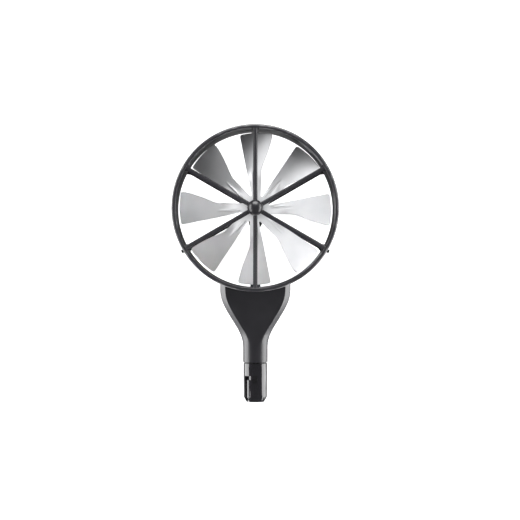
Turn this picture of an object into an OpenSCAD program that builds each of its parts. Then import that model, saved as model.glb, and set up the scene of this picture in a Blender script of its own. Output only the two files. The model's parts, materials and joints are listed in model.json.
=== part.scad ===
// Probe head of a vane anemometer: a guarded impeller in a short duct, on a hollow
// neck that ends in a bayonet spigot. All sizes are in millimetres.
// Frame: origin on the spigot's axis at the upper edge of its sleeve, +Z up towards
// the duct, -Y towards the front. The impeller's axis is parallel to Y.

/* [Duct] */
// Bore of the duct that the impeller turns in
duct_bore = 100; // [80:1:130]
// Wall thickness of the duct
duct_wall = 2.5; // [2.5:0.1:4]
// Depth of the duct from front rim to rear rim
duct_depth = 40; // [36:1:60]
// Depth of each guard's rim, which closes one end of the duct
rim_depth = 4; // [3.6:0.1:6]
// Radius of the rounded outer edge of both rims
rim_round = 1.8; // [0.5:0.1:1.8]
// Length of the tongue that centres each rim in the duct
lap_depth = 2.5; // [1.5:0.1:4]
// Width of an accessory lug on the duct
lug_w = 2.1; // [1.5:0.1:4]
// Height of an accessory lug over the duct's outside
lug_height = 2.3; // [1:0.1:4]

/* [Guards] */
// Number of spokes in each guard
spoke_count = 6; // [3:1:8]
// Width of a spoke
spoke_w = 2.7; // [2.4:0.1:4]
// Depth of a spoke along the air's way
spoke_depth = 2.8; // [2.6:0.1:4]
// Width of the flat crest on a spoke
crest_w = 1.3; // [0.6:0.1:2]
// Diameter of the boss where the spokes meet
boss_d = 9.4; // [8.6:0.1:14]
// Diameter of the ball cap in front of the boss
ball_d = 10; // [9.6:0.1:15]

/* [Impeller] */
// Number of vanes
vane_count = 8; // [4:1:10]
// Gap between the vanes' tips and the duct
tip_gap = 1.6; // [0.8:0.1:4]
// Thickness of the vanes' sheet
sheet_t = 0.5; // [0.4:0.1:0.8]
// Diameter of the flat disc that carries the vanes
disc_d = 19; // [14:0.5:24]
// Pitch of a vane from the disc's plane, outside its neck
vane_pitch = 30; // [25:1:45]
// Radius where a vane's neck ends and its blade flares out
neck_end_r = 25; // [20:0.5:32]
// Reach of the leading edge from the vane's centre line at the neck
lead_neck = 3.6; // [2.6:0.1:5]
// Reach of the leading edge from the vane's centre line at the tip
lead_tip = 11; // [6:0.5:12]
// Reach of the trailing edge from the vane's centre line at the disc
trail_neck = 2.5; // [2.2:0.1:4]
// Reach of the trailing edge from the vane's centre line at the tip
trail_tip = 10; // [6:0.5:11]
// Height of the stiffening rib pressed into each vane
rib_height = 0.5; // [0.2:0.1:0.8]

/* [Bearings] */
// Diameter of the impeller's shaft
shaft_d = 2; // [1.6:0.1:3]
// Diameter of the pivots on the shaft's ends
pivot_d = 1; // [0.6:0.05:1.2]
// Radial running clearance of a pivot in its jewel
pivot_gap = 0.02; // [0.015:0.005:0.05]
// Outside diameter of a bearing bush
bush_d = 5; // [4.4:0.1:6]
// Distance from the disc to the front bearing's face
front_reach = 9.5; // [6:0.5:10]
// Distance from the disc to the rear bearing's face
rear_reach = 3.5; // [3.2:0.1:5]

/* [Pickup] */
// Width of the pickup's housing
pickup_w = 8.7; // [8.2:0.1:12]
// Distance of the pickup coil's centre from the impeller's axis
coil_drop = 9.4; // [8:0.1:11]
// Diameter of the pickup coil's bobbin
bobbin_d = 4.8; // [4:0.1:5.5]
// Diameter of the pickup's lead
lead_d = 1; // [0.8:0.1:1.1]

/* [Neck] */
// Height of the duct's lowest point above the sleeve
neck_length = 45.8; // [44:0.5:70]
// Width of the neck where it meets the duct
neck_w = 44.6; // [40:0.5:60]
// Depth of the neck where it meets the duct
neck_depth = 26; // [25:0.5:30]
// Step from the sleeve out to the neck's round stem
stem_step = 0.3; // [0.1:0.1:1]
// Height above the sleeve where the stem begins to flare out
flare_start = 11; // [11:0.5:14]
// Width of the bevel beside the front panel
bevel_w = 3.2; // [1:0.1:4]
// Depth of the bevel beside the front panel
bevel_depth = 5; // [2:0.1:6]

/* [Spigot] */
// Outside diameter of the bayonet sleeve
sleeve_d = 15; // [14:0.1:18]
// Length of the bayonet sleeve
sleeve_length = 24.4; // [20:0.1:32]
// Diameter of the sleeve's chamfered end
sleeve_nose_d = 11.2; // [10:0.1:13]
// Length of the chamfer at the sleeve's end
sleeve_nose = 3.3; // [1:0.1:5]
// Bore of the sleeve
sleeve_bore = 8.8; // [8:0.1:9]
// Width of the bayonet slot
slot_w = 2.6; // [1.5:0.1:3]
// Depth of the bayonet slot
slot_depth = 2.2; // [1:0.1:2.3]
// Depth of the bayonet slot's upper edge below the sleeve's upper edge
slot_top = 7.8; // [4:0.1:12]
// Turn of the bayonet slot round the sleeve, in degrees
slot_turn = 52; // [30:1:80]
// Height of the seal above the sleeve
seal_h = 0.8; // [0.5:0.1:1.5]

/* [Electronics] */
// Width of the circuit board
board_w = 17; // [14:0.5:18]
// Height of the circuit board
board_h = 12.5; // [10:0.5:13]
// Thickness of the circuit board
board_t = 1; // [0.8:0.1:1.6]

/* [Hidden] */
$fn = 96;
seat_gap = 0.02;
lap_gap = 0.05;
bore_r = duct_bore / 2;
duct_r = bore_r + duct_wall;
axis_z = neck_length + duct_r;
front_z = duct_depth / 2;
body_z = front_z - rim_depth;
lap_r = bore_r + duct_wall / 2;
rim_inner_round = 0.6;
crest_drop = 0.4;
spoke_z = front_z - crest_drop;
spoke_bevel = 0.8;
gusset = 1.3;
boss_r = boss_d / 2;
lug_angles = [90, 210, 330];
lug_near = 10;
lug_far = 14;
cap_peg_r = 1.5;
cap_peg_length = 2.8;
rear_cap_height = 1.6;
cap_hole_length = 3;

tip_r = bore_r - tip_gap;
disc_r = disc_d / 2;
disc_t = sheet_t + 0.1;
root_r = disc_r - 1.5;
vane_corner = 1.3;
rib_w = 2;
rib_offset = 1;
rib_start_r = disc_r + 0.5;
vane_rows = 14;
corner_rows = 4;

end_play = 0.2;
jewel_d = 3;
jewel_t = 1.2;
pivot_length = jewel_t + end_play + 0.9;
sink_depth = pivot_length;
bush_length = 6.5;
hub_r = 4.5;
hub_sleeve_r = shaft_d / 2 + 1;
hub_flange_t = 1.2;
collar_t = 2;

pod_front = 3.5;
pod_back = spoke_z - spoke_depth - 0.2;
pod_end_drop = coil_drop - 1.1;
pod_wall = 0.8;
stub_length = 5;
stub_r = 2.4;
coil_length = 7;
flange_t = 0.6;
core_r = 0.8;
winding_r = bobbin_d / 2 - 0.2;
barrel_r = core_r + 0.5;

channel_w = lead_d + 0.6;
lead_hole_d = lead_d + 0.4;
cover_t = 0.8;
lead_z = spoke_z - cover_t - lead_d / 2 - 0.05;
foot_w = 6.5;
foot_height = 3.5;
foot_front = 10;
lead_y = foot_front + 1.2;
lead_drop = bore_r - 1.7;

stem_r = sleeve_d / 2 + stem_step;
neck_half_depth = neck_depth / 2;
crease_z = flare_start + 13;
neck_rows = 12;
cavity_depth = 6;
cavity_inset = 3;
cavity_start = flare_start + 5;
tang_half_w = 17;
tang_half_t = 3;
tang_drop = 7.5;
upper_screw_x = 13;
upper_screw_z = neck_length - 5.2;
lower_screw_z = flare_start + 8.5;
screw_head_r = 2.2;
screw_head_h = 1.8;
screw_r = 1.2;
post_r = 2.8;
lower_post_r = 2.8;
upper_seat = cavity_depth + 1;
lower_seat = cavity_depth + 0.4;
screw_reach = 5.5;

sleeve_r = sleeve_d / 2;
low_r = sleeve_r - 0.08;
land_length = slot_top - 0.3;
tube_r = sleeve_r - 1.7;
tube_top = flare_start - 1;
flange_r = sleeve_r - 0.9;
flange_low = tube_top - 5;
flange_high = tube_top - 3;
bore_of_sleeve = sleeve_bore / 2;
slot_start = -53.5;
pocket_w = 3.1;
pocket_drop = 4.4;
insert_low = -sleeve_length + 10.4;
insert_high = -2;
contact_r = 0.7;
contact_offset = 1.8;
socket_r = 0.4;
wire_d = 0.7;

board_low = neck_length - 22.3;
board_high = board_low + board_h;
board_half_w = board_w / 2;
pad_x = 6;
pad_r = 1.2;

// ---- shared shapes ----

// Draws in the impeller's frame: Z runs forwards along its axis, Y runs up
module hub_frame() translate([0, 0, axis_z]) rotate([90, 0, 0]) children();

module tube(outer, inner, low, high) {
    difference() {
        translate([0, 0, low]) cylinder(r = outer, h = high - low);
        translate([0, 0, low - 1]) cylinder(r = inner, h = high - low + 2);
    }
}

module disc(r, low, high) translate([0, 0, low]) cylinder(r = r, h = high - low);

module block(low, high) translate(low) cube(high - low);

// One straight piece of wire from a to b, with a bead that rounds its joint at b
module wire_piece(a, b, d) {
    run = b - a;
    translate(a)
        rotate([0, acos(run[2] / norm(run)), atan2(run[1], run[0])])
            cylinder(d = d, h = norm(run), $fn = 24);
    translate(b) sphere(d = d * 1.04, $fn = 24);
}

module wire(path, d) {
    for (i = [0:len(path) - 2]) wire_piece(path[i], path[i + 1], d);
}

function arc(cx, cy, r, from, to, steps) =
    [for (i = [0:steps]) let (a = from + (to - from) * i / steps) [cx + r * cos(a), cy + r * sin(a)]];

function smooth(u) = let (c = min(1, max(0, u))) c * c * (3 - 2 * c);

// ---- duct and guards ----

module duct_ring() color("#2e2c33") {
    difference() {
        union() {
            hub_frame() disc(duct_r, -body_z, body_z);
            hub_frame() lugs();
            block([-tang_half_w, -tang_half_t, neck_length - tang_drop],
                  [tang_half_w, tang_half_t, neck_length + duct_wall]);
        }
        hub_frame() disc(bore_r, -front_z, front_z);
        hub_frame() for (side = [0, 1]) mirror([0, 0, side])
            disc(lap_r + lap_gap, body_z - lap_depth - lap_gap, front_z);
        // the pickup's lead leaves the duct here
        translate([0, lead_y, neck_length - 1]) cylinder(d = lead_hole_d, h = duct_wall + 3);
        for (side = [-1, 1]) translate([side * upper_screw_x, 0, upper_screw_z])
            rotate([90, 0, 0]) cylinder(r = screw_r + 0.15, h = 4 * tang_half_t, center = true);
    }
}

module lugs() {
    for (a = lug_angles) rotate(a)
        block([duct_r - 0.5, -lug_w / 2, -lug_far], [duct_r + lug_height, lug_w / 2, -lug_near]);
}

// Rim of one guard: its tongue, its rounded outer edge and its eased inner edge
module rim() {
    rotate_extrude($fn = 180)
        polygon(concat(
            [[bore_r, body_z - lap_depth], [lap_r, body_z - lap_depth], [lap_r, body_z], [duct_r, body_z]],
            arc(duct_r - rim_round, front_z - rim_round, rim_round, 0, 90, 6),
            arc(bore_r + rim_inner_round, front_z - rim_inner_round, rim_inner_round, 90, 180, 3)
        ));
}

// A spoke along +X with bevelled flanks, and the gusset that joins it to the rim
module spoke() {
    half = spoke_w / 2;
    back = spoke_z - spoke_depth;
    rotate([90, 0, 90]) linear_extrude(lap_r)
        polygon([
            [-half, back], [half, back], [half, spoke_z - spoke_bevel],
            [crest_w / 2, spoke_z], [-crest_w / 2, spoke_z], [-half, spoke_z - spoke_bevel]
        ]);
    gusset_block();
}

module gusset_block() {
    half = spoke_w / 2;
    translate([0, 0, spoke_z - spoke_depth + 0.3])
        linear_extrude(spoke_depth - spoke_bevel - 0.3)
            polygon([
                [bore_r - 2 * gusset, half - 0.1], [bore_r + 0.6, half + gusset],
                [bore_r + 0.6, -half - gusset], [bore_r - 2 * gusset, 0.1 - half]
            ]);
}

function spoke_angle(i) = 270 + 360 * i / spoke_count;

module front_guard() color("#2e2c33") hub_frame() {
    difference() {
        union() {
            rim();
            for (i = [0:spoke_count - 1]) rotate(spoke_angle(i)) spoke();
            disc(boss_r, front_reach, front_z);
        }
        disc(bush_d / 2 + seat_gap, front_reach - 1, front_reach + bush_length + seat_gap);
        disc(cap_peg_r + seat_gap, front_z - cap_hole_length, front_z + 1);
    }
}

module rear_guard() color("#2e2c33") hub_frame() mirror([0, 0, 1]) {
    difference() {
        union() {
            rim();
            for (i = [1:spoke_count - 1]) rotate(spoke_angle(i)) spoke();
            rotate(spoke_angle(0)) lead_spoke();
            disc(boss_r, pod_back, front_z);
            disc(stub_r, pod_back - stub_length, pod_back + 1);
        }
        rotate(spoke_angle(0)) lead_channel();
        disc(cap_peg_r + seat_gap, front_z - cap_hole_length, front_z + 1);
    }
}

// The lower rear spoke is square, to hold the pickup's lead, and ends in a foot
module lead_spoke() {
    back = spoke_z - spoke_depth;
    block([0, -spoke_w / 2 - 0.1, back], [lap_r, spoke_w / 2 + 0.1, spoke_z]);
    gusset_block();
    intersection() {
        block([bore_r - foot_height, -foot_w / 2, foot_front], [bore_r + 1, foot_w / 2, spoke_z - 0.2]);
        union() {
            disc(bore_r - lap_gap, foot_front, front_z);
            disc(lap_r - 0.2, body_z + 0.2, front_z);
        }
    }
}

module lead_channel() {
    block([coil_drop - channel_w / 2, -channel_w / 2, lead_z - lead_d / 2 - 0.05],
          [lead_drop + channel_w / 2, channel_w / 2, front_z + 1]);
    translate([coil_drop, 0, pod_back - 1]) cylinder(d = lead_hole_d, h = 3);
    translate([lead_drop, 0, lead_y - 0.8]) cylinder(d = lead_hole_d, h = lead_z - lead_y + 0.8);
    translate([lead_drop, 0, lead_y]) rotate([0, 90, 0]) cylinder(d = lead_hole_d - 0.1, h = 4);
}

module lead_cover() color("#26242b") hub_frame() mirror([0, 0, 1]) rotate(spoke_angle(0))
    block([coil_drop - channel_w / 2 + lap_gap, -channel_w / 2 + lap_gap, spoke_z - cover_t],
          [lead_drop + channel_w / 2 - lap_gap, channel_w / 2 - lap_gap, spoke_z]);

module front_cap() color("#1b1a1e") hub_frame() {
    intersection() {
        translate([0, 0, front_z + 1]) sphere(d = ball_d);
        disc(ball_d, front_z, front_z + ball_d);
    }
    disc(cap_peg_r, front_z - cap_peg_length, front_z + 1);
}

module rear_cap() color("#1b1a1e") hub_frame() mirror([0, 0, 1]) {
    dome_r = (boss_r * boss_r + rear_cap_height * rear_cap_height) / (2 * rear_cap_height);
    intersection() {
        translate([0, 0, front_z + rear_cap_height - dome_r]) sphere(r = dome_r);
        disc(boss_r + 1, front_z, front_z + 2 * rear_cap_height);
    }
    disc(cap_peg_r, front_z - cap_peg_length, front_z + rear_cap_height / 2);
}

// ---- bearings and impeller ----

// A bush whose open face is at z = 0 and whose blind end points up
module bearing_bush() color("#b08d57")
    difference() {
        disc(bush_d / 2, 0, bush_length);
        disc(jewel_d / 2 + seat_gap, -1, jewel_t);
        disc(pivot_d / 2 + 0.4, -1, sink_depth);
    }

module jewel() color("#a01f3c") tube(jewel_d / 2, pivot_d / 2 + pivot_gap, 0, jewel_t);

module front_bearing_bush() hub_frame() translate([0, 0, front_reach]) bearing_bush();
module front_jewel() hub_frame() translate([0, 0, front_reach]) jewel();
module rear_bearing_bush() hub_frame() mirror([0, 0, 1]) translate([0, 0, rear_reach]) bearing_bush();
module rear_jewel() hub_frame() mirror([0, 0, 1]) translate([0, 0, rear_reach]) jewel();

module impeller_shaft() color("#9aa0a6") hub_frame() {
    disc(shaft_d / 2, end_play - rear_reach, front_reach - end_play);
    disc(pivot_d / 2, end_play - rear_reach - pivot_length, front_reach - end_play + pivot_length);
}

module impeller_hub() color("#b9bcc0") hub_frame()
    difference() {
        union() {
            disc(hub_r, -disc_t / 2 - hub_flange_t, -disc_t / 2);
            disc(hub_sleeve_r, -disc_t / 2 - hub_flange_t / 2, disc_t / 2 + collar_t + 0.3);
        }
        disc(shaft_d / 2 + seat_gap / 2, -10, 10);
    }

module hub_collar() color("#b9bcc0") hub_frame()
    tube(hub_r, hub_sleeve_r + seat_gap, disc_t / 2, disc_t / 2 + collar_t);

// Reach of the leading edge at radius r: a straight neck, then a flared blade
function lead_edge(r) =
    let (u = max(0, (r - neck_end_r) / (tip_r - neck_end_r)))
    lead_neck + (lead_tip - lead_neck) * (u + sin(90 * u)) / 2;

// Reach of the trailing edge at radius r: one straight line
function trail_edge(r) =
    trail_neck + (trail_tip - trail_neck) * (r - disc_r) / (tip_r - disc_r);

// How far the rounded corners draw both edges in, near the tip
function corner_inset(r) =
    let (c = max(0, r - (tip_r - vane_corner)))
    vane_corner - sqrt(max(0, vane_corner * vane_corner - c * c));

// The vane twists up from the disc's plane along its neck
function pitch_at(r) = vane_pitch * smooth((r - disc_r) / (neck_end_r + 3 - disc_r));

function rib_at(r) = rib_height * (r > rib_start_r && r < neck_end_r ? 1 : 0);

function vane_radii() = concat(
    [for (i = [0:vane_rows - 1]) root_r + (tip_r - vane_corner - root_r) * i / vane_rows],
    [for (i = [0:corner_rows]) tip_r - vane_corner + vane_corner * sin(90 * i / corner_rows)]
);

// Places across the vane at radius r, from the leading to the trailing edge, each with its lift
function vane_places(r) =
    let (low = corner_inset(r) - lead_edge(r), high = trail_edge(r) - corner_inset(r), lift = rib_at(r))
    [[low, 0], [low / 2, 0], [rib_offset - rib_w / 2, 0], [rib_offset - rib_w / 4, lift],
     [rib_offset + rib_w / 4, lift], [rib_offset + rib_w / 2, 0], [high, 0]];

function vane_point(r, place, side) =
    let (
        pitch = pitch_at(r),
        half = side * sheet_t / 2 + place[1],
        swing = (place[0] + half * sin(pitch)) / r * 180 / PI
    )
    [r * cos(swing), r * sin(swing), half * cos(pitch) - place[0] * tan(pitch)];

module vane() {
    radii = vane_radii();
    rows = len(radii);
    columns = len(vane_places(tip_r));
    back = rows * columns;
    points = [for (side = [1, -1]) for (r = radii) for (place = vane_places(r)) vane_point(r, place, side)];
    skin = [for (i = [0:rows - 2]) for (j = [0:columns - 2]) let (a = i * columns + j)
        each [[a, a + 1, a + 1 + columns], [a, a + 1 + columns, a + columns]]];
    rear_skin = [for (face = skin) [face[2] + back, face[1] + back, face[0] + back]];
    rim_loop = concat(
        [for (i = [0:rows - 2]) i * columns],
        [for (j = [0:columns - 2]) (rows - 1) * columns + j],
        [for (i = [rows - 1:-1:1]) i * columns + columns - 1],
        [for (j = [columns - 1:-1:1]) j]
    );
    edge = [for (k = [0:len(rim_loop) - 1])
        let (a = rim_loop[k], b = rim_loop[(k + 1) % len(rim_loop)])
        each [[a, b, b + back], [a, b + back, a + back]]];
    polyhedron(points, concat(skin, rear_skin, edge));
}

module impeller_vanes() color("#c9cbce") hub_frame()
    difference() {
        union() {
            disc(disc_r, -disc_t / 2, disc_t / 2);
            for (i = [0:vane_count - 1]) rotate(360 * i / vane_count) vane();
        }
        disc(hub_sleeve_r + seat_gap, -5, 5);
    }

// ---- pickup ----

module pod_outline(half_w) {
    circle(r = half_w);
    translate([0, -pod_end_drop]) circle(r = half_w);
    translate([-half_w, -pod_end_drop]) square([2 * half_w, pod_end_drop]);
}

module pickup_housing() color("#232126") hub_frame() mirror([0, 0, 1])
    difference() {
        translate([0, 0, pod_front]) linear_extrude(pod_back - pod_front) pod_outline(pickup_w / 2);
        disc(bush_d / 2 + seat_gap, pod_front - 1, pod_front + bush_length + seat_gap);
        disc(stub_r + seat_gap, pod_back - stub_length - seat_gap, pod_back + 1);
        translate([0, -coil_drop, 0]) {
            disc(bobbin_d / 2 + seat_gap, pod_front + pod_wall, pod_front + pod_wall + coil_length + 1);
            disc(lead_hole_d / 2, pod_front + pod_wall, pod_back + 1);
        }
    }

module coil_frame() hub_frame() translate([0, -coil_drop, 0]) mirror([0, 0, 1])
    translate([0, 0, pod_front + pod_wall]) children();

module pickup_bobbin() color("#d8d2c0") coil_frame()
    difference() {
        union() {
            disc(bobbin_d / 2, 0, flange_t);
            disc(bobbin_d / 2, coil_length - flange_t, coil_length);
            disc(barrel_r, 0, coil_length);
        }
        disc(core_r + seat_gap, -1, coil_length + 1);
    }

module pickup_core() color("#4a4a4d") coil_frame() disc(core_r, 0, coil_length);

module pickup_winding() color("#b5651d") coil_frame()
    tube(winding_r, barrel_r + seat_gap, flange_t + seat_gap, coil_length - flange_t - seat_gap);

// From the coil, down the lead spoke and through the duct's wall to the board
module pickup_lead() color("#3a3a3e") {
    wall_z = axis_z - lead_drop;
    wire([
        [0, pod_front + pod_wall + coil_length + 0.1, axis_z - coil_drop],
        [0, lead_z, axis_z - coil_drop],
        [0, lead_z, wall_z],
        [0, lead_y, wall_z],
        [0, lead_y, neck_length - 2.6],
        [0, tang_half_t + lead_d, neck_length - 6],
        [0, tang_half_t + lead_d, board_high + 1.6],
        [0, board_t / 2 + lead_d / 2 + 0.05, board_high - 0.6],
        [0, board_t / 2 + lead_d / 2 + 0.05, board_high - 3]
    ], lead_d);
}

// ---- neck ----

// Half the neck's width and half its depth at height z
function neck_rise(z) = smooth((z - flare_start) / (neck_length - flare_start));
function half_width(z) = stem_r + (neck_w / 2 - stem_r) * neck_rise(z);
function half_depth(z) = stem_r + (neck_half_depth - stem_r) * neck_rise(z);

function mix(a, b, t) = a * (1 - t) + b * t;

// Corners of the bevelled half section, and the corner that each of its 18 steps lies between
function half_corners(w, d) = [
    [-w, 0], [-w, bevel_depth - d], [bevel_w - w, -d], [w - bevel_w, -d], [w, bevel_depth - d], [w, 0]
];
corner_steps = [0, 3, 6, 12, 15, 18];

function half_section(z) =
    let (
        w = half_width(z),
        d = half_depth(z),
        corners = half_corners(w, d),
        crease = smooth((z - flare_start) / (crease_z - flare_start))
    )
    [for (s = [0:4]) for (k = [corner_steps[s]:corner_steps[s + 1] - (s < 4 ? 1 : 0)])
        let (
            along = (k - corner_steps[s]) / (corner_steps[s + 1] - corner_steps[s]),
            flat = mix(corners[s], corners[s + 1], along),
            round_pt = [w * cos(180 + 10 * k), d * sin(180 + 10 * k)],
            p = mix(round_pt, flat, crease)
        )
        [p[0], p[1], z]];

// The half of the neck in front of the parting plane: the round stem, then the flare
module half_neck() {
    top = neck_length + 8;
    rows = neck_rows + 2;
    count = 19;
    flare = [for (i = [0:neck_rows]) each half_section(flare_start + (top - flare_start) * i / neck_rows)];
    ends = [[0, -stem_r / 2, seal_h], [0, -neck_half_depth / 2, top]];
    points = concat(half_section(seal_h), flare, ends);
    side = [for (i = [0:rows - 2]) for (k = [0:count - 1])
        let (a = i * count + k, b = i * count + (k + 1) % count)
        each [[a, a + count, b + count], [a, b + count, b]]];
    last = (rows - 1) * count;
    bottom = [for (k = [0:count - 1]) [rows * count, k, (k + 1) % count]];
    lid = [for (k = [0:count - 1]) [rows * count + 1, last + (k + 1) % count, last + k]];
    polyhedron(points, concat(side, bottom, lid));
}

// What both shells leave free: the sleeve's tube, the electronics' cavity and the duct
module neck_hollow() {
    disc(tube_r + lap_gap, seal_h - 1, tube_top + lap_gap);
    disc(flange_r + lap_gap, flange_low - lap_gap, flange_high + lap_gap);
    disc(bore_of_sleeve, seal_h, cavity_start + 1);
    rotate([90, 0, 0]) linear_extrude(2 * cavity_depth, center = true)
        polygon(concat(
            [for (i = [0:10]) let (z = cavity_start + (neck_length + 6 - cavity_start) * i / 10)
                [half_width(z) - cavity_inset, z]],
            [for (i = [10:-1:0]) let (z = cavity_start + (neck_length + 6 - cavity_start) * i / 10)
                [cavity_inset - half_width(z), z]]
        ));
    hub_frame() disc(duct_r + lap_gap, -2 * front_z, 2 * front_z);
}

// Draws its children at the two upper screws, along Y
module at_upper_screws() {
    for (side = [-1, 1]) translate([side * upper_screw_x, 0, upper_screw_z]) rotate([-90, 0, 0]) children();
}

module at_lower_screw() translate([0, 0, lower_screw_z]) rotate([-90, 0, 0]) children();

module board_pads() {
    for (x = [-pad_x, pad_x]) for (z = [board_low + 3, board_high - 3])
        translate([x, 0, z]) rotate([90, 0, 0])
            disc(pad_r, board_t / 2, cavity_depth + 1);
}

module neck_front_shell() color("#29272e")
    difference() {
        union() {
            difference() {
                half_neck();
                neck_hollow();
            }
            at_upper_screws() disc(post_r, -cavity_depth - 1, -tang_half_t);
            at_lower_screw() disc(lower_post_r, -cavity_depth - 0.5, 0);
            board_pads();
        }
        at_upper_screws() disc(screw_r, -upper_seat - 1.2, 0);
        at_lower_screw() disc(screw_r, -screw_reach - 0.3, 1);
    }

module neck_rear_shell() color("#29272e")
    difference() {
        union() {
            difference() {
                mirror([0, 1, 0]) half_neck();
                neck_hollow();
                // way of the pickup's lead behind the tang
                block([-1.2, 0, board_high], [1.2, lead_y - 2.4, neck_length + 5]);
                block([-1.2, 0, neck_length - 4.5], [1.2, lead_y + lead_d / 2 + 0.3, neck_length + 5]);
            }
            at_upper_screws() disc(post_r, tang_half_t, cavity_depth + 1);
            at_lower_screw() disc(lower_post_r, 0, cavity_depth + 0.5);
            mirror([0, 1, 0]) board_pads();
        }
        at_upper_screws() {
            disc(screw_r + 0.1, 0, cavity_depth + 5);
            disc(screw_head_r + 0.2, upper_seat, neck_depth);
        }
        at_lower_screw() {
            disc(screw_r + 0.1, -1, cavity_depth + 1);
            disc(screw_head_r + 0.2, lower_seat, neck_depth);
        }
    }

// A screw that points towards -Z, with its head's underside at z = 0
module screw(length) {
    difference() {
        disc(screw_head_r, 0, screw_head_h);
        for (a = [0, 90]) rotate(a) block([-1.4, -0.25, screw_head_h - 0.8], [1.4, 0.25, screw_head_h + 1]);
    }
    disc(screw_r - 0.05, -length, 0.5);
}

module housing_screws() color("#5a5a5e") {
    at_upper_screws() translate([0, 0, upper_seat]) screw(2 * upper_seat + 0.8);
    at_lower_screw() translate([0, 0, lower_seat]) screw(lower_seat + screw_reach);
}

// ---- electronics ----

module circuit_board() color("#1f5a34")
    block([-board_half_w, -board_t / 2, board_low], [board_half_w, board_t / 2, board_high]);

module board_chips() color("#1a1a1c") {
    front = -board_t / 2;
    block([-2.5, front - 1.5, board_low + 3.5], [2.5, front, board_low + 8.5]);
    block([-4.4, front - 1.1, board_high - 2.6], [-2.3, front, board_high - 0.6]);
    block([2.3, front - 1.1, board_high - 2.6], [4.4, front, board_high - 0.6]);
    block([-1.6, front - 0.9, board_high - 2], [1.6, front, board_high - 0.8]);
}

module at_contacts() {
    for (x = [-contact_offset, contact_offset]) for (y = [-contact_offset, contact_offset])
        translate([x, y, 0]) children();
}

// Four leads from the contacts' tails, past the lower screw, to the board's two faces
module connector_leads() color("#c0392b") {
    near = board_t / 2 + wire_d / 2 + 0.02;
    for (x = [-1, 1]) for (y = [-1, 1])
        wire([
            [x * contact_offset, y * contact_offset, 1],
            [x * contact_offset, y * contact_offset, flare_start - 1],
            [x * 3.6, y * near, flare_start + 4.5],
            [x * 3.9, y * near, board_low + 2.4]
        ], wire_d);
}

module slot_cut() {
    outer = sleeve_r + 2;
    inner = sleeve_r - slot_depth;
    end = slot_start + slot_turn;
    rotate(slot_start - 90)
        block([inner, -slot_w / 2, -sleeve_length - 1], [outer, slot_w / 2, -slot_top]);
    rotate(slot_start - 90) rotate_extrude(angle = slot_turn)
        translate([inner, -slot_top - slot_w]) square([outer - inner, slot_w]);
    // the pocket stands 0.05 over the slot, so that their upper faces don't share a plane
    rotate(end - 90)
        block([inner, -pocket_w / 2, -slot_top - pocket_drop], [outer, pocket_w / 2, 0.05 - slot_top]);
}

// A true cylinder above the slots locates the head; below it the sleeve has its moulding draft
module bayonet_sleeve() color("#18171b")
    difference() {
        union() {
            disc(sleeve_r, -land_length, 0);
            translate([0, 0, sleeve_nose - sleeve_length])
                cylinder(r1 = low_r, r2 = sleeve_r, h = sleeve_length - sleeve_nose - land_length);
            translate([0, 0, -sleeve_length])
                cylinder(r1 = sleeve_nose_d / 2, r2 = low_r, h = sleeve_nose);
            disc(tube_r, -1, tube_top);
            disc(flange_r, flange_low, flange_high);
        }
        disc(bore_of_sleeve, -sleeve_length - 1, tube_top + 1);
        for (turn = [0, 180]) rotate(turn) slot_cut();
    }

module seal_ring() color("#101012") tube(sleeve_r - 0.5, tube_r + seat_gap, 0, seal_h);

module connector_insert() color("#1d1c20")
    difference() {
        disc(bore_of_sleeve - seat_gap, insert_low, insert_high);
        at_contacts() disc(contact_r + seat_gap, insert_low - 1, insert_high + 1);
    }

module contact_sockets() color("#c8a24a") at_contacts()
    difference() {
        disc(contact_r, insert_low + 0.4, 1);
        disc(socket_r, insert_low - 1, insert_low + 6);
    }

duct_ring();
front_guard();
rear_guard();
front_cap();
rear_cap();
front_bearing_bush();
rear_bearing_bush();
front_jewel();
rear_jewel();
impeller_vanes();
impeller_hub();
hub_collar();
impeller_shaft();
pickup_housing();
pickup_bobbin();
pickup_core();
pickup_winding();
pickup_lead();
lead_cover();
neck_front_shell();
neck_rear_shell();
housing_screws();
circuit_board();
board_chips();
connector_leads();
bayonet_sleeve();
seal_ring();
connector_insert();
contact_sockets();
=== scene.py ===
import json
import math

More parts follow.
